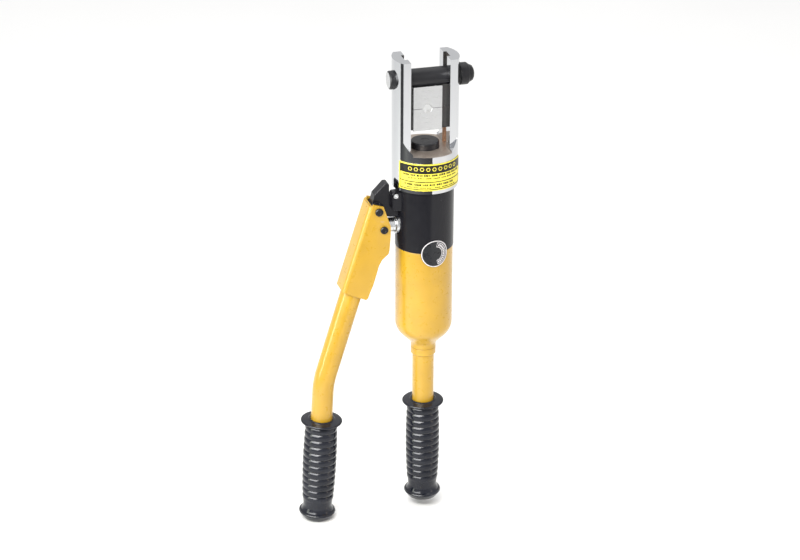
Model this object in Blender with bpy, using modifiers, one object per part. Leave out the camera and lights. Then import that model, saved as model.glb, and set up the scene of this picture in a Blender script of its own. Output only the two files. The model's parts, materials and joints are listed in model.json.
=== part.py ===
"""A hand-operated hydraulic crimping tool, standing on end: head up, fixed handle down.

Z runs along the tool, from the end of the fixed grip at z = 0. X runs along the lock pin, and the
pump handle is on the -X side. The open front of the head faces -Y. Sizes below are millimetres, and
MM turns them into metres.
"""

import math

import bmesh
import bpy
from mathutils import Matrix, Vector

MM = 0.001
GAP = 0.3  # between pieces that touch
SMOOTH_ANGLE = math.radians(35)

# Levels along the tool
HEAD_TOP = 503.0
PIN_Z = 480.3
PARTING_Z = 449.6
RAM_TOP = 412.0
FLOOR_Z = 405.3
COLLAR_BOTTOM = 365.3
BODY_BOTTOM = 297.3
SHOULDER_TOP = 210.0
NECK_TOP = 179.0
NECK_BOTTOM = 170.8
GRIP_TOP = 117.0

# Head
HEAD_R = 34.5
SLOT_HALF = 20.6
GROOVE_HALF_Y = 7.0
GROOVE_HALF_X = 24.0
FLAT_Y = 19.4
FLAT_END_R = 31.0
FLAT_END_Z = 430.7
CAVITY_R = 27.0
CAVITY_TOP = 397.0
PIN_R = 9.6
PIN_HOLE_R = 9.9
PIN_END_X = -39.4
KNOB_R = 11.5
DIE_HALF_X = 15.2
DIE_HALF_Y = 9.8
DIE_HEIGHT = 23.6
HEX_FLATS = 8.6

# Ram and cylinder
RAM_R = 14.8
RAM_HOLE_R = 15.15
PISTON_R = 22.7
CYLINDER_R = 23.0
CYLINDER_BOTTOM = 338.0
PISTON_BOTTOM = 341.0
PISTON_TOP = 355.0
SPRING_R = 18.6
SPRING_WIRE_R = 1.4
SPRING_TURNS = 5
SPRING_POINTS_PER_TURN = 14
SEAL_GROOVE_R = 19.6
SEAL_GROOVE = (346.0, 350.0)
WIPER_GROOVE_R = 18.0
WIPER_GROOVE = (398.5, 401.5)

# Body, barrel and fixed handle
BODY_R = 30.6
NECK_R = 26.6
SPIGOT_R = 27.5
SPIGOT_BOTTOM = 287.0
SLEEVE_TOP = 396.4
NECK_GROOVE_R = 24.7
NECK_GROOVE = (373.0, 376.0)
SPIGOT_GROOVE_R = 25.7
SPIGOT_GROOVE = (290.0, 293.0)
INLET_X = -12.0
INLET_BALL_R = 3.4
OUTLET_BALL_R = 2.7
PASSAGES = ((INLET_X, 4.2, 280, 308), (INLET_X, 1.8, 300, 322), (INLET_X, 1.6, 322, 345),
            (INLET_X, 3.4, 332.5, 345), (0, 4.2, 280, 311), (0, 1.5, 300, 345))  # x, radius, low, high
BARREL_R = 30.0
BARREL_WALL = 2.2
SHOULDER_R = 20.0
NECK_FILLET_R = 8.0
COLLAR_R = 13.3
TUBE_R = 11.5
TUBE_BORE_R = 9.5

# Pump handle and plunger
PIVOT = (-52.6, 343.2)
PLUNGER_PIN = (-47.2, 322.7)
PIVOT_PIN_R = 3.0
PLUNGER_Z = 322.0
PLUNGER_R = 7.8
PLUNGER_IN = -12.6
PLUNGER_SHOULDER = -40.5
TANG_HALF_Y = 5.2
GLAND_R = 9.9
GLAND_IN = -27.6
GLAND_OUT = -32.6
GLAND_BORE_R = 10.3
GLAND_SEAT = -25.0
LUG_HALF_Y = 6.0
EYE_HALF_Y = 11.4
EYE_R = 8.0
RELIEF = (-34.0, 358.0)
RELIEF_BORE_R = 2.9
RELIEF_BORE_END = -3.0
RELIEF_BLOCK_Y = (-13.0, -1.5)
RELIEF_BALL_R = 1.4
RELIEF_BLOCK = [(-27.5, 340.5), (-36.6, 342.0), (-38.2, 344.0), (-38.2, 360.4), (-37.0, 361.9),
                (-27.5, 361.9)]
HORN = [(-28.0, 356.5), (-38.0, 356.5), (-39.4, 358.0), (-39.4, 368.8), (-40.6, 370.2), (-44.0, 370.2),
        (-55.1, 358.7), (-56.3, 354.0)]
LUG_FOOT = [(-46.0, 334.6), (-38.5, 333.0), (-28.0, 333.0)]
PIN_HEAD_R = 4.2
PLUNGER_PIN_HEAD_R = 4.0
CHEEK_IN = 11.9
CHEEK_OUT = 14.4
WEB_WALL = 2.6
WEB_BEND_R = 5.0
WEB_TOP = (-62.2, 350.0)
WEB_LOW = (-91.6, 257.0)
CHEEK_CORNER = [(-72.0, 350.3), (-62.0, 350.0), (-60.6, 349.3), (-58.6, 349.9)]
EAR_CENTRE = (-53.2, 350.4)
EAR_R = 5.1
CHEEK_EDGE = [(-47.2, 346.8), (-44.2, 338.0), (-41.3, 329.5), (-40.0, 326.0), (-40.0, 316.0),
              (-41.2, 299.5), (-42.2, 295.2), (-49.3, 289.0), (-52.6, 282.6), (-55.3, 272.8),
              (-58.6, 261.8), (-62.2, 253.2), (-64.2, 247.4), (-66.5, 245.6)]
CHEEK_FOOT = [WEB_LOW, (-110.0, 257.0)]
GRIP_AXIS_TOP = (-111.7, 105.1)
GRIP_LEAN = math.radians(3.06)
TUBE_LEAN = math.radians(17.1)
TUBE_BEND = (-109.3, 149.5)
TUBE_BEND_LENGTH = 11.0
TUBE_UPPER_LENGTH = 130.0
TUBE_LOWER_LENGTH = 150.0
GRIP_FLANGE_Z = 114.2

# Grip profile
FLANGE_TOP_R = 22.1
FLANGE_BOTTOM_R = 19.6
RIB_DEPTH = 1.2
RIB_PITCH = 7.5
RIB_COUNT = 12
FIRST_RIB = 107.0
GRIP_BORE_R = 11.8
GRIP_FLOOR = 4.0

# Plates
LABEL_Z = (369.2, 398.2)
LABEL_HALF_ANGLE = 64
PLATE_THICKNESS = 0.5
BADGE_R = 14.8
BADGE_THICKNESS = 0.9
BADGE_FACING = math.radians(5)

THROUGH = 50.0  # how far a cutter reaches, past any wall

X_AXIS = Matrix.Rotation(math.pi / 2, 4, "Y")
Y_AXIS = Matrix.Rotation(-math.pi / 2, 4, "X")


def clear_scene():
    for obj in list(bpy.data.objects):
        bpy.data.objects.remove(obj, do_unlink=True)


def collection(name):
    made = bpy.data.collections.new(name)
    bpy.context.scene.collection.children.link(made)
    return made


def material(name, colour, roughness, metallic):
    made = bpy.data.materials.new(name)
    made.use_nodes = True
    shader = made.node_tree.nodes["Principled BSDF"]
    shader.inputs["Base Color"].default_value = (*colour, 1.0)
    shader.inputs["Roughness"].default_value = roughness
    shader.inputs["Metallic"].default_value = metallic
    made.diffuse_color = (*colour, 1.0)
    return made


clear_scene()
PARTS = collection("hydraulic_crimping_tool")
CUTTERS = collection("cutters")

CHROME = ("chrome", (0.80, 0.81, 0.83), 0.12, 1.0)
BLACK_OXIDE = ("black_oxide", (0.03, 0.03, 0.035), 0.45, 0.6)
BLACK_PAINT = ("black_paint", (0.02, 0.02, 0.022), 0.35, 0.0)
YELLOW_PAINT = ("yellow_paint", (0.90, 0.56, 0.05), 0.35, 0.0)
STEEL = ("ground_steel", (0.55, 0.56, 0.57), 0.3, 1.0)
RUBBER = ("black_rubber", (0.03, 0.03, 0.032), 0.7, 0.0)
GRIP_RUBBER = ("grip_rubber", (0.035, 0.037, 0.05), 0.5, 0.0)
LABEL = ("label", (0.85, 0.78, 0.12), 0.45, 0.0)
BADGE = ("badge", (0.02, 0.02, 0.025), 0.3, 0.0)


def place(name, mesh, look, origin=(0, 0, 0), turn=None):
    """An object with its mesh about origin (mm), in the parts' collection, with its own material."""
    obj = bpy.data.objects.new(name, mesh)
    obj.matrix_world = Matrix.Translation(Vector(origin) * MM) @ (turn or Matrix())
    finish, *values = look
    mesh.materials.clear()
    mesh.materials.append(material(f"{name}_{finish}", *values))
    PARTS.objects.link(obj)
    return obj


def hang_on_axis(name, origin, nodes):
    """An empty on a joint's axis, which the named parts move with."""
    axis = bpy.data.objects.new(name, None)
    axis.location = Vector(origin) * MM
    PARTS.objects.link(axis)
    bpy.context.view_layer.update()
    for node in nodes:
        obj = bpy.data.objects[node]
        obj.parent = axis
        obj.matrix_parent_inverse = axis.matrix_world.inverted()


def evaluated_mesh(obj):
    graph = bpy.context.evaluated_depsgraph_get()
    graph.update()
    return bpy.data.meshes.new_from_object(obj.evaluated_get(graph))


def shade(mesh):
    mesh.shade_smooth()
    mesh.set_sharp_from_angle(angle=SMOOTH_ANGLE)


def turned_mesh(profile, segments, closed):
    """A profile of (radius, height) turned about Z. It runs down the outer side; closed makes a ring."""
    mesh = bpy.data.meshes.new("profile")
    points = [(r * MM, 0, z * MM) for r, z in profile]
    edges = [(i, i + 1) for i in range(len(points) - 1)]
    if closed:
        edges.append((len(points) - 1, 0))
    mesh.from_pydata(points, edges, [])
    obj = bpy.data.objects.new("profile", mesh)
    PARTS.objects.link(obj)
    screw = obj.modifiers.new("Turn", "SCREW")
    screw.steps = segments
    screw.render_steps = segments
    screw.use_merge_vertices = True
    screw.merge_threshold = 1e-6
    result = evaluated_mesh(obj)
    bpy.data.objects.remove(obj)
    shade(result)
    return result


def turned(name, profile, look, segments=48, closed=False, origin=(0, 0, 0), turn=None):
    return place(name, turned_mesh(profile, segments, closed), look, origin, turn)


def ring(name, inner, outer, low, high, look, segments=32, origin=(0, 0, 0), turn=None):
    profile = [(outer, high), (outer, low), (inner, low), (inner, high)]
    return turned(name, profile, look, segments, True, origin, turn)


def outline_mesh(points, half):
    """A flat outline in XY, extruded by half each way along Z."""
    work = bmesh.new()
    base = work.faces.new([work.verts.new((x * MM, y * MM, -half * MM)) for x, y in points])
    raised = bmesh.ops.extrude_face_region(work, geom=[base])["geom"]
    top = [item for item in raised if isinstance(item, bmesh.types.BMVert)]
    bmesh.ops.translate(work, verts=top, vec=(0, 0, 2 * half * MM))
    bmesh.ops.recalc_face_normals(work, faces=work.faces)
    mesh = bpy.data.meshes.new("outline")
    work.to_mesh(mesh)
    work.free()
    return mesh


def face_outwards(mesh):
    work = bmesh.new()
    work.from_mesh(mesh)
    bmesh.ops.remove_doubles(work, verts=work.verts, dist=1e-7)
    bmesh.ops.recalc_face_normals(work, faces=work.faces)
    work.to_mesh(mesh)
    work.free()
    return mesh


def curve_mesh(curve):
    obj = bpy.data.objects.new(curve.name, curve)
    PARTS.objects.link(obj)
    mesh = evaluated_mesh(obj)
    bpy.data.objects.remove(obj)
    return face_outwards(mesh)


def side_plate_mesh(points, low_y, high_y):
    """An outline of (x, z) points, filled from low_y to high_y."""
    mesh = outline_mesh(points, (high_y - low_y) / 2)
    middle = Vector((0, (low_y + high_y) / 2 * MM, 0))
    mesh.transform(Matrix.Translation(middle) @ Matrix.Rotation(math.pi / 2, 4, "X"))
    return mesh


def upright_mesh(points, low_z, high_z):
    """An outline of (x, y) points, filled from low_z to high_z."""
    mesh = outline_mesh(points, (high_z - low_z) / 2)
    mesh.transform(Matrix.Translation((0, 0, (low_z + high_z) / 2 * MM)))
    return mesh


def cylinder_mesh(radius, low, high, segments=32, turn=None, centre=(0, 0, 0)):
    """A cylinder from low to high along its own axis, which is Z unless turned."""
    work = bmesh.new()
    bmesh.ops.create_cone(work, cap_ends=True, segments=segments, radius1=radius * MM,
                          radius2=radius * MM, depth=(high - low) * MM)
    mesh = bpy.data.meshes.new("cylinder")
    work.to_mesh(mesh)
    work.free()
    mesh.transform(Matrix.Translation((0, 0, (low + high) / 2 * MM)))
    mesh.transform(Matrix.Translation(Vector(centre) * MM) @ (turn or Matrix()))
    return mesh


def box_mesh(low, high):
    work = bmesh.new()
    bmesh.ops.create_cube(work, size=1.0)
    mesh = bpy.data.meshes.new("box")
    work.to_mesh(mesh)
    work.free()
    size = [(b - a) * MM for a, b in zip(low, high)]
    middle = [(b + a) / 2 * MM for a, b in zip(low, high)]
    mesh.transform(Matrix.Translation(middle) @ Matrix.Diagonal((*size, 1)))
    return mesh


def combine(obj, mesh, operation="DIFFERENCE"):
    """Cut, join or intersect obj with a tool mesh given in world space, and keep the result."""
    tool = bpy.data.objects.new(f"{obj.name}_tool", mesh)
    tool.hide_render = True
    tool.display_type = "WIRE"
    CUTTERS.objects.link(tool)
    bpy.context.view_layer.update()
    boolean = obj.modifiers.new("Shape", "BOOLEAN")
    boolean.operation = operation
    boolean.solver = "EXACT"
    boolean.object = tool
    result = evaluated_mesh(obj)
    look = obj.data.materials[0]
    obj.modifiers.clear()
    obj.data = result
    result.materials.clear()
    result.materials.append(look)
    bpy.data.objects.remove(tool)
    shade(result)
    return obj


def arc(centre, radius, start, end, steps):
    """Points on an arc, angles in degrees."""
    angles = [math.radians(start + (end - start) * i / steps) for i in range(steps + 1)]
    return [(centre[0] + radius * math.cos(a), centre[1] + radius * math.sin(a)) for a in angles]


def make_yoke():
    """The head: a turned cylinder with an open slot, side flats that end in a round, and a lock pin hole."""
    edge = 1.0
    profile = [(HEAD_R - edge, HEAD_TOP), (HEAD_R, HEAD_TOP - edge), (HEAD_R, COLLAR_BOTTOM + edge),
               (HEAD_R - edge, COLLAR_BOTTOM), (CAVITY_R, COLLAR_BOTTOM), (CAVITY_R, CAVITY_TOP),
               (RAM_HOLE_R, CAVITY_TOP), (RAM_HOLE_R, WIPER_GROOVE[0]), (WIPER_GROOVE_R, WIPER_GROOVE[0]),
               (WIPER_GROOVE_R, WIPER_GROOVE[1]), (RAM_HOLE_R, WIPER_GROOVE[1]), (RAM_HOLE_R, HEAD_TOP)]
    yoke = turned("yoke", profile, CHROME, 48, True)
    top = HEAD_TOP + THROUGH
    combine(yoke, box_mesh((-SLOT_HALF, -THROUGH, FLOOR_Z), (SLOT_HALF, THROUGH, top)))
    combine(yoke, box_mesh((-GROOVE_HALF_X, -GROOVE_HALF_Y, FLOOR_Z), (GROOVE_HALF_X, GROOVE_HALF_Y, top)))
    low = FLOOR_Z + 0.7  # stays clear of the slot's floor
    bottom = [(x, max(z, low)) for x, z in arc((0, FLAT_END_Z), FLAT_END_R, 180, 360, 24)]
    outline = [(FLAT_END_R, top), (-FLAT_END_R, top)] + bottom
    for low_y, high_y in ((-THROUGH, -FLAT_Y), (FLAT_Y, THROUGH)):
        combine(yoke, side_plate_mesh(outline, low_y, high_y))
    combine(yoke, cylinder_mesh(PIN_HOLE_R, -THROUGH, THROUGH, 32, X_AXIS, (0, 0, PIN_Z)))


def make_lock_pin():
    knob_in = HEAD_R + 0.7
    profile = [(0, 50.4), (5.5, 50.2), (7.8, 48.8), (9.0, 46.4), (9.0, 44.8), (10.4, 44.6), (KNOB_R, 43.0),
               (KNOB_R, knob_in + 0.8), (KNOB_R - 0.8, knob_in), (PIN_R, knob_in),
               (PIN_R, PIN_END_X + 1.4), (PIN_R - 1.4, PIN_END_X), (0, PIN_END_X)]
    turned("lock_pin", profile, BLACK_OXIDE, 32, origin=(0, 0, PIN_Z), turn=X_AXIS)


def make_die(name, side):
    """One of two like dies. side is 1 above the parting line, and -1 below it."""
    near = PARTING_Z + side * GAP / 2
    far = PARTING_Z + side * DIE_HEIGHT
    low, high = min(near, far), max(near, far)
    tongue_x, tongue_y = GROOVE_HALF_X - GAP, GROOVE_HALF_Y - GAP
    die = place(name, box_mesh((-DIE_HALF_X, -DIE_HALF_Y, low), (DIE_HALF_X, DIE_HALF_Y, high)), STEEL)
    combine(die, box_mesh((-tongue_x, -tongue_y, low), (tongue_x, tongue_y, high)), "UNION")
    across = Y_AXIS @ Matrix.Rotation(math.pi / 2, 4, "Z")
    combine(die, cylinder_mesh(HEX_FLATS / math.sqrt(3), -THROUGH, THROUGH, 6, across, (0, 0, PARTING_Z)))
    saddle_z = PARTING_Z + side * (PIN_Z - PARTING_Z)
    combine(die, cylinder_mesh(PIN_HOLE_R, -THROUGH, THROUGH, 32, X_AXIS, (0, 0, saddle_z)))


def make_ram():
    edge = 0.8
    groove_low, groove_high = SEAL_GROOVE
    wiper_low, wiper_high = WIPER_GROOVE
    profile = [(0, RAM_TOP), (RAM_R - edge, RAM_TOP), (RAM_R, RAM_TOP - edge), (RAM_R, PISTON_TOP),
               (PISTON_R, PISTON_TOP), (PISTON_R, groove_high), (SEAL_GROOVE_R, groove_high),
               (SEAL_GROOVE_R, groove_low), (PISTON_R, groove_low), (PISTON_R, PISTON_BOTTOM),
               (0, PISTON_BOTTOM)]
    turned("ram", profile, BLACK_OXIDE)
    ring("ram_seal", SEAL_GROOVE_R + GAP, 22.75, groove_low + GAP, groove_high - GAP, RUBBER, 24)
    ring("rod_wiper", 15.1, WIPER_GROOVE_R - GAP, wiper_low + GAP, wiper_high - GAP, RUBBER, 24)


def make_return_spring():
    low = PISTON_TOP + GAP + SPRING_WIRE_R
    high = CAVITY_TOP - GAP - SPRING_WIRE_R
    curve = bpy.data.curves.new("coil", "CURVE")
    curve.dimensions = "3D"
    curve.bevel_depth = SPRING_WIRE_R * MM
    curve.bevel_resolution = 1
    curve.use_fill_caps = True
    spline = curve.splines.new("POLY")
    count = SPRING_TURNS * SPRING_POINTS_PER_TURN
    spline.points.add(count)
    for i, point in enumerate(spline.points):
        angle = 2 * math.pi * SPRING_TURNS * i / count
        height = low + (high - low) * i / count
        point.co = (SPRING_R * math.cos(angle) * MM, SPRING_R * math.sin(angle) * MM, height * MM, 1)
    place("return_spring", curve_mesh(curve), STEEL)


def make_pump_body():
    """The black block: ram cylinder above, spigot for the barrel below, and the pump handle's lug."""
    edge = 0.8
    profile = [(0, CYLINDER_BOTTOM), (CYLINDER_R, CYLINDER_BOTTOM), (CYLINDER_R, SLEEVE_TOP),
               (NECK_R, SLEEVE_TOP), (NECK_R, NECK_GROOVE[1]), (NECK_GROOVE_R, NECK_GROOVE[1]),
               (NECK_GROOVE_R, NECK_GROOVE[0]), (NECK_R, NECK_GROOVE[0]), (NECK_R, COLLAR_BOTTOM - GAP),
               (BODY_R - edge, COLLAR_BOTTOM - GAP), (BODY_R, COLLAR_BOTTOM - GAP - edge),
               (BODY_R, BODY_BOTTOM), (SPIGOT_R, BODY_BOTTOM), (SPIGOT_R, SPIGOT_GROOVE[1]),
               (SPIGOT_GROOVE_R, SPIGOT_GROOVE[1]), (SPIGOT_GROOVE_R, SPIGOT_GROOVE[0]),
               (SPIGOT_R, SPIGOT_GROOVE[0]), (SPIGOT_R, SPIGOT_BOTTOM), (0, SPIGOT_BOTTOM)]
    body = turned("pump_body", profile, BLACK_PAINT, 40)
    lug = HORN + arc(PIVOT, EYE_R, 130, 270, 7) + LUG_FOOT
    combine(body, side_plate_mesh(lug, -LUG_HALF_Y, LUG_HALF_Y), "UNION")
    eye = cylinder_mesh(EYE_R - 1.0, -EYE_HALF_Y, EYE_HALF_Y, 24, Y_AXIS, (PIVOT[0], 0, PIVOT[1]))
    combine(body, eye, "UNION")
    combine(body, side_plate_mesh(RELIEF_BLOCK, *RELIEF_BLOCK_Y), "UNION")
    combine(body, cylinder_mesh(PIVOT_PIN_R + GAP, -THROUGH, THROUGH, 24, Y_AXIS, (PIVOT[0], 0, PIVOT[1])))
    combine(body, cylinder_mesh(PLUNGER_R + GAP, -60, -7.5, 32, X_AXIS, (0, 0, PLUNGER_Z)))
    combine(body, cylinder_mesh(GLAND_BORE_R, -60, GLAND_SEAT, 32, X_AXIS, (0, 0, PLUNGER_Z)))
    relief_bore = cylinder_mesh(RELIEF_BORE_R, -14, RELIEF_BORE_END, 20, Y_AXIS, (RELIEF[0], 0, RELIEF[1]))
    combine(body, relief_bore)
    for x, radius, low, high in PASSAGES:
        combine(body, cylinder_mesh(radius, low, high, 12, None, (x, 0, 0)))


def make_valves():
    for name, radius, z in (("inlet_ball", INLET_BALL_R, 303.9), ("outlet_ball", OUTLET_BALL_R, 335.6)):
        turned(name, arc((0, 0), radius, 90, -90, 8), STEEL, 16, origin=(INLET_X, 0, z))
    ring("inlet_seat", 1.8, 3.9, 288.0, 299.8, STEEL, 16, origin=(INLET_X, 0, 0))
    needle = [(0, 310.2), (3.7, 305.5), (3.7, 290.0), (2.6, 290.0), (2.6, 298.0), (0, 298.0)]
    turned("release_needle", needle, STEEL, 16)
    rod = [(0, 295.5), (2.2, 295.5), (2.2, 286.0), (3.0, 285.0), (3.0, 178.0), (0, 178.0)]
    turned("release_rod", rod, STEEL, 16)
    screw = turned("relief_screw", [(0, 4.2), (2.6, 4.2), (2.6, 0), (0, 0)], STEEL, 20,
                   origin=(RELIEF[0], -12.8, RELIEF[1]), turn=Y_AXIS)
    combine(screw, cylinder_mesh(1.45, -16, -10.4, 6, Y_AXIS, (RELIEF[0], 0, RELIEF[1])))
    ring("relief_spring", 1.2, 2.3, -8.3, -6.0, STEEL, 16, origin=(RELIEF[0], 0, RELIEF[1]), turn=Y_AXIS)
    ball_y = RELIEF_BORE_END - RELIEF_BALL_R - 0.1
    turned("relief_ball", arc((0, 0), RELIEF_BALL_R, 90, -90, 6), STEEL, 12,
           origin=(RELIEF[0], ball_y, RELIEF[1]))


def make_plunger():
    """A round plunger with a flat eye, whose upright slot lets the handle's pin swing."""
    edge = 0.8
    rod_end = PLUNGER_SHOULDER - 1.5
    profile = [(0, PLUNGER_IN), (PLUNGER_R - edge, PLUNGER_IN), (PLUNGER_R, PLUNGER_IN - edge),
               (PLUNGER_R, rod_end), (0, rod_end)]
    origin = (0, 0, PLUNGER_Z)
    plunger = turned("plunger", profile, CHROME, 32, origin=origin, turn=X_AXIS)
    end = PLUNGER_PIN[0] - 7.0
    tang = [(PLUNGER_SHOULDER, 314.4), (PLUNGER_SHOULDER, 330.6), (end + 4, 330.6), (end, 326.6),
            (end, 318.4), (end + 4, 314.4)]
    combine(plunger, side_plate_mesh(tang, -TANG_HALF_Y, TANG_HALF_Y), "UNION")
    half = PIVOT_PIN_R + 0.4
    low, high = PLUNGER_PIN[1] - 0.8, PLUNGER_PIN[1] + 2.0
    slot = (arc((PLUNGER_PIN[0], high), half, 0, 180, 8) + arc((PLUNGER_PIN[0], low), half, 180, 360, 8))
    combine(plunger, side_plate_mesh(slot, -THROUGH, THROUGH))
    inner = PLUNGER_R + GAP
    gland = [(GLAND_R, GLAND_IN), (GLAND_R, GLAND_OUT + edge), (GLAND_R - edge, GLAND_OUT),
             (inner, GLAND_OUT), (inner, GLAND_IN)]
    turned("plunger_gland", gland, STEEL, 32, True, origin, X_AXIS)
    ring("plunger_seal", 8.0, GLAND_R, GLAND_IN + GAP, GLAND_SEAT - GAP, RUBBER, 32, origin, X_AXIS)


def make_seals():
    for name, inner, outer, (low, high) in (("neck_oring", 24.9, 26.8, NECK_GROOVE),
                                            ("barrel_oring", 25.9, 27.6, SPIGOT_GROOVE)):
        ring(name, inner, outer, low + GAP, high - GAP, RUBBER, 40)


def make_barrel():
    outer = [(BARREL_R - 0.6, BODY_BOTTOM - GAP), (BARREL_R, BODY_BOTTOM - GAP - 0.6)]
    outer += arc((BARREL_R - SHOULDER_R, SHOULDER_TOP), SHOULDER_R, 0, -45, 4)
    low_r, low_z = outer[-1]
    step = NECK_FILLET_R * math.sin(math.pi / 4)
    fillet_r = COLLAR_R + NECK_FILLET_R
    fillet_z = low_z - (low_r - (fillet_r - step)) - step
    outer += arc((fillet_r, fillet_z), NECK_FILLET_R, 135, 180, 3)
    outer += [(COLLAR_R, NECK_TOP + GAP)]
    inner = [(TUBE_R + 0.4, NECK_TOP + GAP), (TUBE_R + 0.4, 187.2)]
    inner += arc((BARREL_R - SHOULDER_R, SHOULDER_TOP), SHOULDER_R - BARREL_WALL, -45, 0, 3)
    inner += [(BARREL_R - BARREL_WALL, BODY_BOTTOM - GAP)]
    turned("barrel", outer + inner, YELLOW_PAINT, 40, True)
    collar = [(COLLAR_R, NECK_TOP), (COLLAR_R, NECK_BOTTOM + 1.2), (COLLAR_R - 1.2, NECK_BOTTOM),
              (TUBE_R + GAP, NECK_BOTTOM), (TUBE_R + GAP, NECK_TOP)]
    turned("neck_collar", collar, YELLOW_PAINT, 48, True)
    bag = [(25.0, 284.0), (25.0, 214.0), (20.0, 207.0), (6.0, 207.0), (6.0, 284.0), (7.5, 284.0),
           (7.5, 208.5), (19.4, 208.5), (23.5, 214.6), (23.5, 284.0)]
    turned("oil_bladder", bag, RUBBER, 24, True)
    ring("bladder_clamp", 25.3, 26.4, 277.0, 283.0, STEEL, 24)


def grip_radius(height):
    """The ribs' radius: the grip swells in the middle, and is thinnest above its lower flange."""
    t = (height - 62.0) / 48.0
    return 18.2 + 0.5 * t - 1.7 * t * t


def grip_profile():
    """The ribbed grip, from its bore's floor up to the mouth, then down its outer side to the closed end."""
    points = [(13.4, GRIP_TOP), (14.2, GRIP_FLANGE_Z + 1.6), (FLANGE_TOP_R - 1.2, GRIP_FLANGE_Z + 1.4),
              (FLANGE_TOP_R, GRIP_FLANGE_Z), (FLANGE_TOP_R - 1.2, GRIP_FLANGE_Z - 1.4),
              (15.6, GRIP_FLANGE_Z - 2.4)]
    for i in range(RIB_COUNT):
        middle = FIRST_RIB - RIB_PITCH * i
        low = middle - RIB_PITCH / 2
        points += [(grip_radius(middle), middle), (grip_radius(low) - RIB_DEPTH, low)]
    points += [(15.4, 14.0), (16.6, 9.6), (FLANGE_BOTTOM_R, 8.0), (FLANGE_BOTTOM_R, 5.6), (16.2, 1.6),
               (13.8, 0.0), (0, 0.0)]
    bore = [(0, GRIP_FLOOR), (GRIP_BORE_R, GRIP_FLOOR), (GRIP_BORE_R, GRIP_TOP)]
    return bore + points


def make_grip(name, origin=(0, 0, 0), turn=None):
    turned(name, grip_profile(), GRIP_RUBBER, 20, origin=origin, turn=turn)


def make_fixed_handle():
    ring("fixed_handle_tube", TUBE_BORE_R, TUBE_R, 6.0, 196.0, YELLOW_PAINT, 40)
    ring("handle_retainer", TUBE_R + GAP, 15.0, 191.0, 194.0, STEEL, 24)
    ring("rod_plug", 3.3, 9.2, 177.0, 186.0, STEEL, 24)
    make_grip("fixed_grip")


def lean(axis, amount):
    """A point amount mm down a line that leans axis radians from Z, towards -X."""
    return Vector((-math.sin(axis) * amount, 0, -math.cos(axis) * amount))


def handle_path():
    """The pump handle tube's centre line, from inside the channel to inside the grip."""
    bend = Vector((TUBE_BEND[0], 0, TUBE_BEND[1]))
    start = bend - lean(TUBE_LEAN, TUBE_UPPER_LENGTH)
    before = bend - lean(TUBE_LEAN, TUBE_BEND_LENGTH)
    after = bend + lean(GRIP_LEAN, TUBE_BEND_LENGTH)
    rounds = []
    for i in range(7):
        t = i / 6
        rounds.append(before * (1 - t) ** 2 + bend * 2 * t * (1 - t) + after * t * t)
    return [start] + rounds + [bend + lean(GRIP_LEAN, TUBE_LOWER_LENGTH)]


def tube_mesh(points, radius, sides_step):
    curve = bpy.data.curves.new("tube", "CURVE")
    curve.dimensions = "3D"
    curve.bevel_depth = radius * MM
    curve.bevel_resolution = sides_step
    curve.use_fill_caps = True
    spline = curve.splines.new("POLY")
    spline.points.add(len(points) - 1)
    for point, place_at in zip(spline.points, points):
        point.co = (*(place_at * MM), 1)
    return curve_mesh(curve)


def make_pump_handle_tube():
    path = handle_path()
    tube = place("pump_handle_tube", tube_mesh(path, TUBE_R, 6), YELLOW_PAINT)
    longer = [path[0] - lean(TUBE_LEAN, 10.0)] + path[1:-1] + [path[-1] + lean(GRIP_LEAN, 10.0)]
    combine(tube, tube_mesh(longer, TUBE_BORE_R, 4))


def u_section(depth):
    """A pressed U, open at the far end of depth, as (distance from the web's outer face, y) points."""
    bend, inner_bend = WEB_BEND_R, WEB_BEND_R - WEB_WALL
    edge_y = CHEEK_OUT - bend
    outer = arc((bend, -edge_y), bend, 270, 180, 4) + arc((bend, edge_y), bend, 180, 90, 4)
    corner_y = CHEEK_IN - inner_bend
    inner = arc((bend, corner_y), inner_bend, 90, 180, 3) + arc((bend, -corner_y), inner_bend, 180, 270, 3)
    far_edge = [(depth, CHEEK_OUT), (depth, CHEEK_IN)]
    return [(depth, -CHEEK_OUT)] + outer + far_edge + inner + [(depth, -CHEEK_IN)]


def make_channel():
    """A pressed channel: two cheeks that carry the pins, and a web along the outer side."""
    lean_angle = math.atan2(WEB_TOP[0] - WEB_LOW[0], WEB_TOP[1] - WEB_LOW[1])
    blank_half, blank_depth = 100.0, 80.0
    mesh = upright_mesh(u_section(blank_depth), -blank_half, blank_half)
    mesh.transform(Matrix.Rotation(lean_angle, 4, "Y"))
    mesh.transform(Matrix.Translation((WEB_LOW[0] * MM, 0, WEB_LOW[1] * MM)))
    channel = place("handle_channel", mesh, YELLOW_PAINT)
    ear = arc(EAR_CENTRE, EAR_R, 175, 0, 8)
    cheek = CHEEK_CORNER + ear + CHEEK_EDGE + CHEEK_FOOT
    combine(channel, side_plate_mesh(cheek, -THROUGH, THROUGH), "INTERSECT")
    for x, z in (PIVOT, PLUNGER_PIN):
        combine(channel, cylinder_mesh(PIVOT_PIN_R + GAP, -THROUGH, THROUGH, 24, Y_AXIS, (x, 0, z)))


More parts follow.
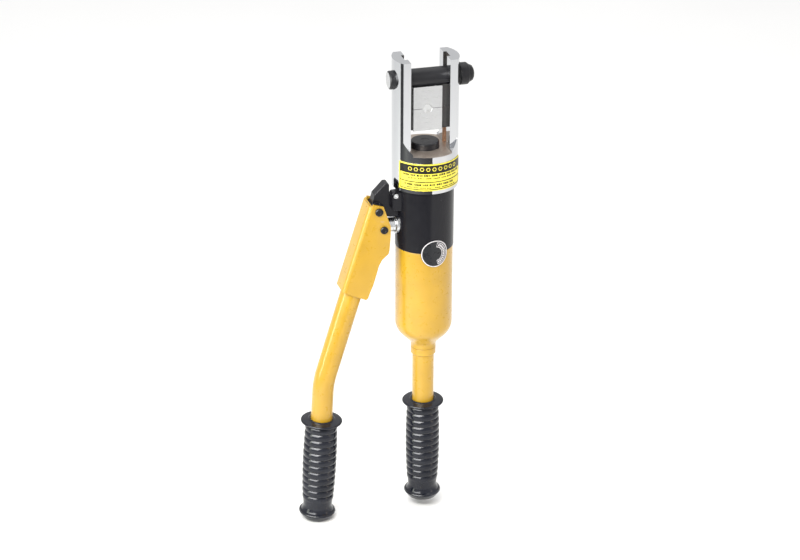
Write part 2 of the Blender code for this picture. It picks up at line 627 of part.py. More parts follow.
def make_pins():
    """Headed pins through the channel's cheeks, each held by a circlip behind."""
    for name, clip, (x, z), head_r in (("pivot_pin", "pivot_circlip", PIVOT, PIN_HEAD_R),
                                       ("plunger_pin", "plunger_circlip", PLUNGER_PIN, PLUNGER_PIN_HEAD_R)):
        back = CHEEK_OUT + 2.8
        front = -CHEEK_OUT - GAP
        profile = [(0, back), (PIVOT_PIN_R - 0.5, back), (PIVOT_PIN_R, back - 0.5), (PIVOT_PIN_R, back - 1.1),
                   (2.4, back - 1.1), (2.4, back - 2.3), (PIVOT_PIN_R, back - 2.3), (PIVOT_PIN_R, front),
                   (head_r, front), (head_r, front - 1.6), (head_r - 0.7, front - 2.2), (0, front - 2.2)]
        turned(name, profile, BLACK_OXIDE, 24, origin=(x, 0, z), turn=Y_AXIS)
        ring(clip, 2.7, 4.9, back - 2.05, back - 1.35, STEEL, 24, (x, 0, z), Y_AXIS)


def make_label():
    """A thin plate wrapped round the front of the chrome collar."""
    inner, outer = HEAD_R + GAP, HEAD_R + GAP + PLATE_THICKNESS
    start, end = -90 - LABEL_HALF_ANGLE, -90 + LABEL_HALF_ANGLE
    points = arc((0, 0), outer, start, end, 24) + arc((0, 0), inner, end, start, 24)
    place("label_plate", upright_mesh(points, *LABEL_Z), LABEL)


def make_badge():
    """A round plate curved to the body, over the joint between body and barrel."""
    inner = BODY_R + GAP
    badge = ring("badge", inner, inner + BADGE_THICKNESS, BODY_BOTTOM - 17, BODY_BOTTOM + 18, BADGE, 96)
    facing = Matrix.Rotation(BADGE_FACING, 4, "Z") @ Y_AXIS
    combine(badge, cylinder_mesh(BADGE_R, -THROUGH, -20, 40, facing, (0, 0, BODY_BOTTOM)), "INTERSECT")


def make_all():
    make_yoke()
    make_lock_pin()
    make_die("upper_die", 1)
    make_die("lower_die", -1)
    make_ram()
    make_return_spring()
    make_pump_body()
    make_valves()
    make_plunger()
    make_seals()
    make_barrel()
    make_fixed_handle()
    make_channel()
    make_pump_handle_tube()
    down = lean(GRIP_LEAN, GRIP_FLANGE_Z)
    foot = (GRIP_AXIS_TOP[0] + down.x, 0, GRIP_AXIS_TOP[1] + down.z)
    make_grip("pump_grip", foot, Matrix.Rotation(GRIP_LEAN, 4, "Y"))
    make_pins()
    make_label()
    make_badge()
    hang_on_axis("pump_handle_axis", (PIVOT[0], 0, PIVOT[1]),
                 ["handle_channel", "pump_handle_tube", "pump_grip", "pivot_pin", "pivot_circlip",
                  "plunger_pin", "plunger_circlip"])
    hang_on_axis("fixed_handle_axis", (0, 0, 0),
                 ["fixed_handle_tube", "fixed_grip", "handle_retainer", "rod_plug", "release_rod"])


make_all()
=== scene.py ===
"""The looks of a hand hydraulic crimping tool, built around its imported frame.

Lengths are millimetres in this file, and MM turns them into metres. Z runs up the tool from the
fixed grip's end, X along the lock pin, and the open front of the head faces -Y.
"""

import json
import math

import bmesh
import bpy
from mathutils import Matrix, Vector


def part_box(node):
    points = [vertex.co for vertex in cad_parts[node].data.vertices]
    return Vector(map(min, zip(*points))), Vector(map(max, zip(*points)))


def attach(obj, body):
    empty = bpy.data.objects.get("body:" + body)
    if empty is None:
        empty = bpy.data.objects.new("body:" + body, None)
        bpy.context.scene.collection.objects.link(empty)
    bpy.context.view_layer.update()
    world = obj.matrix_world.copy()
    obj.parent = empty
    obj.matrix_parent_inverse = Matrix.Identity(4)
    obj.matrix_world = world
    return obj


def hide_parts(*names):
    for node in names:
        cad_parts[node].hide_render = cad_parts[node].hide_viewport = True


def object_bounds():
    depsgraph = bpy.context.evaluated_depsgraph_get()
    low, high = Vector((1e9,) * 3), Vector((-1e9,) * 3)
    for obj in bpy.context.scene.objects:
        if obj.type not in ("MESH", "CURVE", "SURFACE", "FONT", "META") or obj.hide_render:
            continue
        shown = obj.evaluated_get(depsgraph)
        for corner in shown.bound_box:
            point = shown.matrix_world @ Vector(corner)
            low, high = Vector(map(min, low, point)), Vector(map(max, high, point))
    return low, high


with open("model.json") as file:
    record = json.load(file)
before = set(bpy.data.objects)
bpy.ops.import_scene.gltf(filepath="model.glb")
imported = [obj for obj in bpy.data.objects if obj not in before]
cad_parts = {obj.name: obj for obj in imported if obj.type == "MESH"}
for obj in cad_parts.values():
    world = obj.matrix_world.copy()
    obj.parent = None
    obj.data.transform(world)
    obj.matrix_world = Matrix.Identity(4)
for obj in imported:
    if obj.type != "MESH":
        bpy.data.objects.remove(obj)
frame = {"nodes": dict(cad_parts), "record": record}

CAD_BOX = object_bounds()
NODES = frame["nodes"]
MM = 0.001


def span(node):
    """A node's lowest and highest corner, in millimetres."""
    low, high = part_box(node)
    return low / MM, high / MM


# Levels and radii that the frame gives
HEAD_LOW, HEAD_HIGH = span("yoke")
HEAD_R = HEAD_HIGH.x
COLLAR_BOTTOM, HEAD_TOP = HEAD_LOW.z, HEAD_HIGH.z
PIN_LOW, PIN_HIGH = span("lock_pin")
KNOB_R = PIN_HIGH.y
PIN_Z = (PIN_LOW.z + PIN_HIGH.z) / 2
DIE_FOOT = span("lower_die")[0].z
DIE_SPLIT = span("upper_die")[0].z
BARREL_HIGH = span("barrel")[1]
BARREL_R, BARREL_TOP = BARREL_HIGH.x, BARREL_HIGH.z
COLLAR_LOW, COLLAR_HIGH = span("neck_collar")
COLLAR_R = COLLAR_HIGH.x
TUBE_LOW, TUBE_HIGH = span("fixed_handle_tube")
TUBE_R = TUBE_HIGH.x
RAM_LOW, RAM_HIGH = span("ram")
RAM_TOP = RAM_HIGH.z
LABEL_LOW, LABEL_HIGH = span("label_plate")
BADGE_LOW, BADGE_HIGH = span("badge")

# Sizes that the frame holds inside its shapes
FLOOR_Z = 405.3
CAVITY_R = 27.0
CAVITY_TOP = 397.0
SLOT_HALF = 20.6
GROOVE_HALF_X = 24.0
GROOVE_HALF_Y = 7.0
FLAT_Y = 19.4
FLAT_END_R = 31.0
FLAT_END_Z = 430.7
PIN_R = 9.6
PIN_HOLE_R = 9.9
RAM_R = 14.8
RAM_HOLE_R = 15.15
PISTON_R = 22.7
PISTON_TOP = 355.0
SEAL_GROOVE_R = 19.6
SEAL_GROOVE = (346.0, 350.0)
DIE_HALF_X = 15.2
HEX_REACH = 5.4  # from the hexagon's middle to past its corners
BODY_R = 30.6
BODY_BOTTOM = 297.3
BODY_TOP = 365.0
CYLINDER_R = 23.0
NECK_R = 26.6
SLEEVE_TOP = 396.4
SPIGOT_R = 27.5
SPIGOT_BOTTOM = 287.0
BARREL_WALL = 2.2
BARREL_NECK_INSIDE = 187.2
SHOULDER_TOP = 210.0
SHOULDER_R = 20.0
NECK_FILLET_R = 8.0
TUBE_BORE_R = 9.5
LUG_HALF_Y = 6.0
EYE_HALF_Y = 11.4
EYE_R = 8.0
PIVOT = (-52.6, 343.2)
PIVOT_PIN_HEAD_R = 4.2
PLUNGER_PIN = (-47.2, 322.7)
PLUNGER_PIN_HEAD_R = 4.0
HANDLE_PIN_R = 3.0
PLUNGER_Z = 322.0
GLAND_BORE_R = 10.3
GLAND_SEAT = -25.0
GLAND_R = 9.9
GLAND_INNER_R = 8.1
GLAND_IN = -27.6
GLAND_OUT = -32.6
RELIEF = (-34.0, 358.0)
RELIEF_BORE_R = 2.9
RELIEF_BLOCK_Y = (-13.0, -1.5)
RELIEF_BORE_END = -3.0
CHEEK_OUT = 14.4
GRIP_LEAN = math.radians(3.06)
TUBE_LEAN = math.radians(17.1)
TUBE_BEND = Vector((-109.3, 0, 149.5))
GRIP_AXIS_TOP = Vector((-111.7, 0, 105.1))
GRIP_FLANGE_Z = 114.2
GRIP_TOP = 117.0
GRIP_BORE_R = 11.8
GRIP_FLOOR = 4.0
RIB_COUNT = 12
RIB_PITCH = 7.5
RIB_DEPTH = 1.25
RIB_STEPS = 8
FIRST_RIB = 107.0

X_AXIS = Matrix.Rotation(math.pi / 2, 4, "Y")
Y_AXIS = Matrix.Rotation(-math.pi / 2, 4, "X")
SHARP = math.radians(32)


# ---------------------------------------------------------------- materials

def shader_nodes(name):
    made = bpy.data.materials.new(name)
    made.use_nodes = True
    tree = made.node_tree
    return made, tree, tree.nodes["Principled BSDF"]


def noise(tree, scale, detail=4.0, roughness=0.55, stretch=(1, 1, 1)):
    """Noise in the object's own space. scale is features per metre."""
    place = tree.nodes.new("ShaderNodeTexCoord")
    mapping = tree.nodes.new("ShaderNodeMapping")
    mapping.inputs["Scale"].default_value = stretch
    texture = tree.nodes.new("ShaderNodeTexNoise")
    texture.inputs["Scale"].default_value = scale
    texture.inputs["Detail"].default_value = detail
    texture.inputs["Roughness"].default_value = roughness
    tree.links.new(place.outputs["Object"], mapping.inputs["Vector"])
    tree.links.new(mapping.outputs["Vector"], texture.inputs["Vector"])
    return texture.outputs["Fac"]


def ramp(tree, value, stops):
    """A colour ramp whose stops are (position, colour or grey)."""
    node = tree.nodes.new("ShaderNodeValToRGB")
    for item, (position, colour) in zip(node.color_ramp.elements, stops[:2]):
        item.position = position
        item.color = (*colour, 1) if isinstance(colour, tuple) else (colour, colour, colour, 1)
    for position, colour in stops[2:]:
        item = node.color_ramp.elements.new(position)
        item.color = (*colour, 1) if isinstance(colour, tuple) else (colour, colour, colour, 1)
    tree.links.new(value, node.inputs["Fac"])
    return node.outputs["Color"]


def mixed(tree, factor, first, second):
    """first where factor is 0 and second where it is 1. Each is a colour or a socket."""
    node = tree.nodes.new("ShaderNodeMix")
    node.data_type = "RGBA"
    tree.links.new(factor, node.inputs["Factor"])
    for socket, value in ((node.inputs[6], first), (node.inputs[7], second)):
        if isinstance(value, tuple):
            socket.default_value = (*value, 1)
        else:
            tree.links.new(value, socket)
    return node.outputs[2]


def product(tree, first, second):
    node = tree.nodes.new("ShaderNodeMath")
    node.operation = "MULTIPLY"
    tree.links.new(first, node.inputs[0])
    tree.links.new(second, node.inputs[1])
    return node.outputs[0]


def bump(tree, shader, height, distance):
    """Raises the surface by height times distance, in millimetres."""
    node = tree.nodes.new("ShaderNodeBump")
    node.inputs["Distance"].default_value = distance * MM
    tree.links.new(height, node.inputs["Height"])
    tree.links.new(node.outputs["Normal"], shader.inputs["Normal"])


def edge_wear(tree, amount):
    """White along worn outer edges: it follows the mesh's own sharpness, broken up by noise."""
    geometry = tree.nodes.new("ShaderNodeNewGeometry")
    edges = ramp(tree, geometry.outputs["Pointiness"], [(0.53, 0.0), (0.62, 1.0)])
    patches = ramp(tree, noise(tree, 90, 6), [(0.62 - amount, 0.0), (0.72 - amount, 1.0)])
    return product(tree, edges, patches)


def paint(name, colour, rough, wear, peel=0.005, shine=0.5, coat=0.0):
    """Powder paint: slight mottling, orange peel, fine scuffs and bare steel on worn edges."""
    made, tree, shader = shader_nodes(name)
    dark = tuple(c * 0.9 for c in colour)
    light = tuple(min(1.0, c * 1.06) for c in colour)
    tone = ramp(tree, noise(tree, 28, 3), [(0.3, dark), (0.7, light)])
    worn = edge_wear(tree, wear)
    tree.links.new(mixed(tree, worn, tone, (0.33, 0.31, 0.29)), shader.inputs["Base Color"])
    scuffs = ramp(tree, noise(tree, 160, 8, 0.7), [(0.35, rough * 0.85), (0.75, rough * 1.35)])
    tree.links.new(scuffs, shader.inputs["Roughness"])
    shader.inputs["Specular IOR Level"].default_value = shine
    shader.inputs["Coat Weight"].default_value = coat
    shader.inputs["Coat Roughness"].default_value = 0.12
    bump(tree, shader, noise(tree, 700, 2), peel)
    return made


def metal(name, colour, rough, stretch=(1, 1, 1), grain=500, depth=0.006, stain=(0.5, 0.48, 0.45)):
    """Bare or plated metal: faint stains, and a grain along one direction where stretch says so."""
    made, tree, shader = shader_nodes(name)
    shader.inputs["Metallic"].default_value = 1.0
    marks = ramp(tree, noise(tree, 45, 5), [(0.55, 0.0), (0.8, 0.6)])
    tree.links.new(mixed(tree, marks, colour, stain), shader.inputs["Base Color"])
    lines = noise(tree, grain, 5, 0.6, stretch)
    tree.links.new(ramp(tree, lines, [(0.3, rough * 0.75), (0.7, rough * 1.5)]), shader.inputs["Roughness"])
    bump(tree, shader, lines, depth)
    return made


def rusted(made, level, colour):
    """Browns a material up to one level: a band by height, in the object's own space."""
    tree = made.node_tree
    shader = tree.nodes["Principled BSDF"]
    place = tree.nodes.new("ShaderNodeTexCoord")
    height = tree.nodes.new("ShaderNodeSeparateXYZ")
    above = tree.nodes.new("ShaderNodeMapRange")
    tree.links.new(place.outputs["Object"], height.inputs["Vector"])
    tree.links.new(height.outputs["Z"], above.inputs["Value"])
    fade = 1.0
    above.inputs["From Min"].default_value = (level + fade) * MM
    above.inputs["From Max"].default_value = (level - fade) * MM
    clean = shader.inputs["Base Color"].links[0].from_socket
    tree.links.new(mixed(tree, above.outputs["Result"], clean, colour), shader.inputs["Base Color"])
    return made


def rubber(name, colour, rough):
    """Moulded rubber: a dull bloom in patches and a fine grain."""
    made, tree, shader = shader_nodes(name)
    bloom = tuple(c * 1.5 + 0.007 for c in colour)
    tone = ramp(tree, noise(tree, 40, 5), [(0.35, colour), (0.75, bloom)])
    tree.links.new(tone, shader.inputs["Base Color"])
    tree.links.new(ramp(tree, noise(tree, 220, 6), [(0.3, rough * 0.8), (0.7, rough * 1.3)]),
                   shader.inputs["Roughness"])
    shader.inputs["Specular IOR Level"].default_value = 0.28
    bump(tree, shader, noise(tree, 1800, 3), 0.01)
    return made


# Near-black steel with faint brown stains: painted shade for the dies' tongues and the head's grooves, dark
# in their narrow recesses
SHADED_STEEL, SHADED_STEEL_STAIN = (0.055, 0.053, 0.052), (0.10, 0.07, 0.05)
YELLOW = paint("yellow_powder_paint", (0.46, 0.265, 0.012), 0.30, -0.05, 0.003, shine=0.4, coat=0.5)
BLACK = paint("black_powder_paint", (0.009, 0.009, 0.012), 0.22, -0.03, shine=0.22)
OXIDE = paint("black_oxide_steel", (0.010, 0.010, 0.012), 0.34, 0.0, shine=0.25)
CHROME = metal("polished_chrome", (0.56, 0.57, 0.59), 0.045, depth=0.001, stain=(0.54, 0.55, 0.57))
BARE = metal("bare_brown_steel", (0.40, 0.345, 0.30), 0.42, depth=0.01, stain=(0.26, 0.19, 0.14))
# The dies' tongues: painted shade, dark as they sit in the head's narrow grooves
TONGUE_SHADE = metal("painted_shade_tongue_steel", SHADED_STEEL, 0.5, depth=0.012, stain=SHADED_STEEL_STAIN)
GROUND = metal("ground_steel", (0.55, 0.555, 0.565), 0.20, (1, 1, 12), 160, 0.004, (0.5, 0.5, 0.5))
TURNED = metal("turned_steel", (0.58, 0.59, 0.60), 0.24, (12, 1, 1), 160, 0.004)
POLISHED = metal("polished_die_bore", (0.92, 0.92, 0.91), 0.12, depth=0.001, stain=(0.80, 0.79, 0.77))
# The head's grooves: painted shade down to the lower die's foot, brown bare steel below it
GROOVED = rusted(metal("painted_shade_groove_steel", SHADED_STEEL, 0.5, depth=0.012, stain=SHADED_STEEL_STAIN),
                 DIE_FOOT, (0.30, 0.20, 0.14))
GRIP = rubber("grip_rubber", (0.005, 0.006, 0.011), 0.15)
SEAL = rubber("seal_rubber", (0.012, 0.012, 0.013), 0.5)
LABEL_YELLOW = paint("label_yellow", (0.80, 0.70, 0.055), 0.34, 0.0, 0.002)
LABEL_BLACK = paint("label_black", (0.012, 0.011, 0.008), 0.3, 0.0, 0.002, shine=0.3)
BADGE_BLACK = paint("badge_black", (0.012, 0.013, 0.016), 0.28, 0.0, 0.002, shine=0.3)
BADGE_PALE = paint("badge_pale", (0.66, 0.64, 0.66), 0.35, 0.0, 0.002)


# ---------------------------------------------------------------- shapes

def linked(name, mesh, *finishes):
    obj = bpy.data.objects.new(name, mesh)
    mesh.materials.clear()
    for finish in finishes:
        mesh.materials.append(finish)
    bpy.context.scene.collection.objects.link(obj)
    return obj


def evaluated_mesh(obj):
    graph = bpy.context.evaluated_depsgraph_get()
    graph.update()
    return bpy.data.meshes.new_from_object(obj.evaluated_get(graph))


def baked(obj):
    """The object with its modifiers applied."""
    finishes = list(obj.data.materials)
    result = evaluated_mesh(obj)
    obj.modifiers.clear()
    obj.data = result
    if not result.materials:
        for finish in finishes:
            result.materials.append(finish)
    return obj


def shade(obj):
    """Smooth shading between the sharp edges, in which large flat faces keep their own direction."""
    obj.data.shade_smooth()
    obj.data.set_sharp_from_angle(angle=SHARP)
    weighted = obj.modifiers.new("Normals", "WEIGHTED_NORMAL")
    weighted.keep_sharp = True
    weighted.weight = 100
    return baked(obj)


def rounded(points, radius, steps=4):
    """The outline with each inner corner rounded, by radius or by what its sides have room for."""
    least_turn, most_share = math.radians(12), 0.45
    result = [points[0]]
    for before, corner, after in zip(points, points[1:], points[2:]):
        a, p, b = Vector(before), Vector(corner), Vector(after)
        one, two = a - p, b - p
        turn = math.pi - one.angle(two, math.pi)
        if turn < least_turn:
            result.append(corner)
            continue
        cut = min(radius * math.tan(turn / 2), one.length * most_share, two.length * most_share)
        start, end = p + one.normalized() * cut, p + two.normalized() * cut
        for i in range(steps + 1):
            t = i / steps
            result.append(tuple(start * (1 - t) ** 2 + p * 2 * t * (1 - t) + end * t * t))
    return result + [points[-1]]


def turned_mesh(profile, segments=96):
    """A profile of (radius, height) turned about Z, top to bottom on its outer side."""
    work = bmesh.new()
    rings = []
    for radius, height in profile:
        if radius < 1e-6:
            rings.append([work.verts.new((0, 0, height * MM))] * segments)
            continue
        turns = [2 * math.pi * i / segments for i in range(segments)]
        rings.append([work.verts.new((radius * math.cos(a) * MM, radius * math.sin(a) * MM, height * MM))
                      for a in turns])
    closed = profile[0][0] > 1e-6
    pairs = list(zip(rings, rings[1:])) + ([(rings[-1], rings[0])] if closed else [])
    for upper, lower in pairs:
        for i in range(segments):
            j = (i + 1) % segments
            corners = [upper[i], lower[i], lower[j], upper[j]]
            corners = [v for k, v in enumerate(corners) if v not in corners[:k]]
            if len(corners) > 2:
                work.faces.new(corners)
    bmesh.ops.recalc_face_normals(work, faces=work.faces)
    mesh = bpy.data.meshes.new("turned")
    work.to_mesh(mesh)
    work.free()
    return mesh


def turned(name, profile, finish, radius=0.4, segments=96, origin=(0, 0, 0), turn=None):
    """A turned piece, its corners rounded by radius. It closes into a ring if it starts off the axis."""
    mesh = turned_mesh(rounded(profile, radius) if radius else profile, segments)
    mesh.transform(Matrix.Translation(Vector(origin) * MM) @ (turn or Matrix()))
    return shade(linked(name, mesh, finish))


def cylinder_mesh(radius, low, high, turn=None, centre=(0, 0, 0), segments=64):
    mesh = turned_mesh([(0, high), (radius, high), (radius, low), (0, low)], segments)
    mesh.transform(Matrix.Translation(Vector(centre) * MM) @ (turn or Matrix()))
    return mesh


def box_mesh(low, high):
    work = bmesh.new()
    bmesh.ops.create_cube(work, size=1.0)
    mesh = bpy.data.meshes.new("box")
    work.to_mesh(mesh)
    work.free()
    size = [(b - a) * MM for a, b in zip(low, high)]
    middle = [(b + a) / 2 * MM for a, b in zip(low, high)]
    mesh.transform(Matrix.Translation(middle) @ Matrix.Diagonal((*size, 1)))
    return mesh


def side_plate_mesh(points, low_y, high_y):
    """An outline of (x, z) points, filled from low_y to high_y."""
    work = bmesh.new()
    face = work.faces.new([work.verts.new((x * MM, low_y * MM, z * MM)) for x, z in points])
    raised = bmesh.ops.extrude_face_region(work, geom=[face])["geom"]
    back = [item for item in raised if isinstance(item, bmesh.types.BMVert)]
    bmesh.ops.translate(work, verts=back, vec=(0, (high_y - low_y) * MM, 0))
    bmesh.ops.recalc_face_normals(work, faces=work.faces)
    mesh = bpy.data.meshes.new("plate")
    work.to_mesh(mesh)
    work.free()
    return mesh


def combine(obj, mesh, operation="DIFFERENCE"):
    """Cuts, joins or intersects obj with a mesh."""
    tool = linked("tool", mesh)
    bpy.context.view_layer.update()
    boolean = obj.modifiers.new("Shape", "BOOLEAN")
    boolean.operation = operation
    boolean.solver = "EXACT"
    boolean.object = tool
    baked(obj)
    bpy.data.objects.remove(tool)
    return obj


def flat_joined(obj):
    """Merges faces that lie in one plane, so that a bevel runs cleanly along their edges."""
    work = bmesh.new()
    work.from_mesh(obj.data)
    bmesh.ops.remove_doubles(work, verts=work.verts, dist=2e-6)
    bmesh.ops.dissolve_limit(work, angle_limit=math.radians(0.4), verts=work.verts, edges=work.edges)
    work.to_mesh(obj.data)
    work.free()
    return obj


def bevelled(obj, width, segments=3, angle=30):
    """Rounds the object's sharp edges and keeps its flat faces flat."""
    bevel = obj.modifiers.new("Edges", "BEVEL")
    bevel.width = width * MM
    bevel.segments = segments
    bevel.limit_method = "ANGLE"
    bevel.angle_limit = math.radians(angle)
    bevel.use_clamp_overlap = True
    bevel.harden_normals = False
    baked(obj)
    return shade(obj)


def copy_of(node, name, finish, width, segments=2, angle=30):
    """A piece with a CAD node's own shape, its edges rounded."""
    piece = linked(name, NODES[node].data.copy(), finish)
    return bevelled(flat_joined(piece), width, segments, angle)


def arc(centre, radius, start, end, steps):
    angles = [math.radians(start + (end - start) * i / steps) for i in range(steps + 1)]
    return [(centre[0] + radius * math.cos(a), centre[1] + radius * math.sin(a)) for a in angles]


def stands_for(piece, node, body):
    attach(piece, body)
    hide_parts(node)
    return piece


# ---------------------------------------------------------------- head

def make_yoke():
    """The chromed head, with bare steel on the slot's floor, and painted shade in its grooves over brown bare
    steel at their foot.
    """
    profile = [(RAM_HOLE_R, HEAD_TOP), (HEAD_R, HEAD_TOP), (HEAD_R, COLLAR_BOTTOM), (CAVITY_R, COLLAR_BOTTOM),
               (CAVITY_R, CAVITY_TOP), (RAM_HOLE_R, CAVITY_TOP)]
    yoke = linked("yoke_head", turned_mesh(profile, 128), CHROME)
    top, side = HEAD_TOP + 20, 50  # the cutters end here, well outside the head
    combine(yoke, box_mesh((-SLOT_HALF, -side, FLOOR_Z), (SLOT_HALF, side, top)))
    combine(yoke, box_mesh((-GROOVE_HALF_X, -GROOVE_HALF_Y, FLOOR_Z), (GROOVE_HALF_X, GROOVE_HALF_Y, top)))
    flat_foot = FLOOR_Z + 0.7
    ledge = [(x, max(z, flat_foot)) for x, z in arc((0, FLAT_END_Z), FLAT_END_R, 180, 360, 48)]
    flat = [(FLAT_END_R, top), (-FLAT_END_R, top)] + ledge
    for low_y, high_y in ((-side, -FLAT_Y), (FLAT_Y, side)):
        combine(yoke, side_plate_mesh(flat, low_y, high_y))
    combine(yoke, cylinder_mesh(PIN_HOLE_R, -side, side, X_AXIS, (0, 0, PIN_Z)))
    bevelled(flat_joined(yoke), 1.1, 3, 28)
    yoke.data.materials.append(BARE)
    yoke.data.materials.append(GROOVED)
    for face in yoke.data.polygons:
        x, y, z = face.center / MM
        on_floor = face.normal.z > 0.9 and abs(z - FLOOR_Z) < 0.3
        in_groove = (SLOT_HALF + 0.5 < abs(x) < GROOVE_HALF_X + 0.3 and abs(y) < GROOVE_HALF_Y + 0.3
                     and abs(face.normal.z) < 0.3)
        if on_floor or in_groove:
            # Index 2 is the grooves' painted shade
            face.material_index = 1 if on_floor else 2
    return stands_for(yoke, "yoke", "tool_body")


def make_lock_pin():
    """Black pin: a plain stub on the left and a stepped knob on the right, whose cut end shows steel."""
    knob_in, end = HEAD_R + 0.7, PIN_LOW.x
    knob = [(0, 50.4), (5.5, 50.2), (7.8, 48.8), (9.0, 46.4), (9.0, 44.8), (10.4, 44.6), (KNOB_R, 43.0)]
    shaft = [(KNOB_R, knob_in), (PIN_R, knob_in), (PIN_R, end + 1.2), (PIN_R - 1.2, end), (0, end)]
    pin = turned("lock_pin_body", knob + shaft, OXIDE, 0.5, 96, (0, 0, PIN_Z), X_AXIS)
    pin.data.materials.append(TURNED)
    for face in pin.data.polygons:
        if face.normal.x < -0.95 and face.center.x < (end + 0.3) * MM:
            face.material_index = 1
    return stands_for(pin, "lock_pin", "lock_pin")


def make_dies():
    """Bright ground dies with a polished hexagon. Their tongues are painted dark: painted shade of the
    grooves that they run in.
    """
    for name in ("upper_die", "lower_die"):
        die = copy_of(name, f"{name}_block", GROUND, 0.35, 3)
        die.data.materials.append(TONGUE_SHADE)
        die.data.materials.append(POLISHED)
        for face in die.data.polygons:
            x, y, z = face.center / MM
            # Past the front block lie the tongues, which take painted shade
            if abs(x) > DIE_HALF_X + 0.2:
                face.material_index = 1
            elif math.hypot(x, z - DIE_SPLIT) < HEX_REACH and abs(face.normal.y) < 0.3:
                face.material_index = 2
        stands_for(die, name, "tool_body")


def make_ram():
    """The ram's head shows; its top has a turned step."""
    seal_low, seal_high = SEAL_GROOVE
    profile = [(0, RAM_TOP - 0.25), (4.0, RAM_TOP - 0.25), (4.6, RAM_TOP), (RAM_R - 0.9, RAM_TOP),
               (RAM_R, RAM_TOP - 0.9), (RAM_R, PISTON_TOP), (PISTON_R, PISTON_TOP), (PISTON_R, seal_high),
               (SEAL_GROOVE_R, seal_high), (SEAL_GROOVE_R, seal_low), (PISTON_R, seal_low),
               (PISTON_R, RAM_LOW.z), (0, RAM_LOW.z)]
    stands_for(turned("ram_piston", profile, OXIDE, 0.25), "ram", "ram")


# ---------------------------------------------------------------- printed plates

def wrapped(name, faces, radius, thickness, finish, facing=0.0, grid=3.0):
    """Flat (u, z) polygons wrapped round a cylinder as one thin raised sheet. u runs to the right.

    Edges longer than grid are split first, so that the sheet bends evenly.
    """
    work = bmesh.new()
    for corners in faces:
        work.faces.new([work.verts.new((u * MM, z * MM, 0)) for u, z in corners])
    bmesh.ops.triangulate(work, faces=work.faces)
    most_splits = 6
    for _ in range(most_splits):
        long_edges = [e for e in work.edges if abs(e.verts[0].co.x - e.verts[1].co.x) > grid * MM]
        if not long_edges:
            break
        bmesh.ops.subdivide_edges(work, edges=long_edges, cuts=1)
        bmesh.ops.triangulate(work, faces=work.faces)
    bmesh.ops.remove_doubles(work, verts=work.verts, dist=1e-6)
    front = list(work.faces)
    raised = bmesh.ops.extrude_face_region(work, geom=front)["geom"]
    outer = {item for item in raised if isinstance(item, bmesh.types.BMVert)}
    for vert in work.verts:
        around = vert.co.x / (radius * MM) + facing
        reach = (radius + (thickness if vert in outer else 0)) * MM
        vert.co = Vector((reach * math.sin(around), -reach * math.cos(around), vert.co.y))
    bmesh.ops.recalc_face_normals(work, faces=work.faces)
    mesh = bpy.data.meshes.new(name)
    work.to_mesh(mesh)
    work.free()
    return shade(linked(name, mesh, finish))


def bar(low_u, high_u, low_z, high_z):
    return [(low_u, low_z), (high_u, low_z), (high_u, high_z), (low_u, high_z)]


def frame_bars(half, low, high, width):
    """A rectangular border as four bars."""
    return [bar(-half, half, high - width, high), bar(-half, half, low, low + width),
            bar(-half, -half + width, low + width, high - width),
            bar(half - width, half, low + width, high - width)]


def ring_bars(centre_z, inner, outer, start, end, count):
    """A flat ring, or a stretch of one, as four-sided pieces."""
    angles = [math.radians(start + (end - start) * i / count) for i in range(count + 1)]
    return [[(r * math.cos(a), centre_z + r * math.sin(a))
             for r, a in ((inner, one), (outer, one), (outer, two), (inner, two))]
            for one, two in zip(angles, angles[1:])]


def make_label():
    """A printed plate round the collar: a black band over yellow, with thin rules and no lettering."""
    base_r, thick = HEAD_R + 0.3, 0.3
    half = math.radians(64) * (base_r + thick)
    low, high = LABEL_LOW.z, LABEL_HIGH.z
    step = (high - low) / 3
    base = wrapped("label_base", [bar(-half, half, low, high)], base_r, thick, LABEL_YELLOW)
    ink_r, ink = base_r + thick - 0.02, 0.12
    band_low, band_high, rule = high - step + 0.2, high - 1.2, low + step - 0.4
    black = [bar(-half + 1.0, half - 1.0, band_low, band_high)]
    black += frame_bars(half - 1.0, low + 1.2, band_low + 0.1, 0.8)
    black += [bar(-half + 1.8, half - 1.8, rule, rule + 0.9)]
    rows = ((0.86, 0.86, band_low - 3.6, 2.0, 3), (0.70, 0.74, band_low - 6.4, 1.2, 4),
            (0.82, 0.60, rule - 3.6, 2.0, 5), (0.74, 0.68, rule - 6.2, 1.0, 6))
    for start, end, level, tall, first in rows:
        black += dashes(-half * start, half * end, level, tall, first)
    band = wrapped("label_print", black, ink_r, ink, LABEL_BLACK)
    marks = hexagon_row(9, (band_low + band_high) / 2, 2.3, 6.4)
    pale = wrapped("label_marks", marks, ink_r + 0.08, 0.1, LABEL_YELLOW, grid=1.5)
    for piece in (base, band, pale):
        stands_for(piece, "label_plate", "tool_body")


def dashes(start, end, level, thick, first):
    """A row of small printed blocks of uneven length. first says where the pattern of lengths begins."""
    result, u, i = [], start, first
    while u < end:
        length = 0.5 + (i * 7 % 5) * 0.35
        result.append(bar(u, min(u + length, end), level, level + thick))
        u += length + (1.5 if i % 4 == 0 else 0.5)
        i += 3
    return result


def hexagon_row(count, level, radius, pitch):
    """A row of hexagonal rings, like the tool's own crimp section."""
    rings, line = [], 0.7
    for i in range(count):
        centre = (i - (count - 1) / 2) * pitch
        for piece in ring_bars(level, radius - line, radius, 0, 360, 6):
            rings.append([(u + centre, z) for u, z in piece])
    return rings


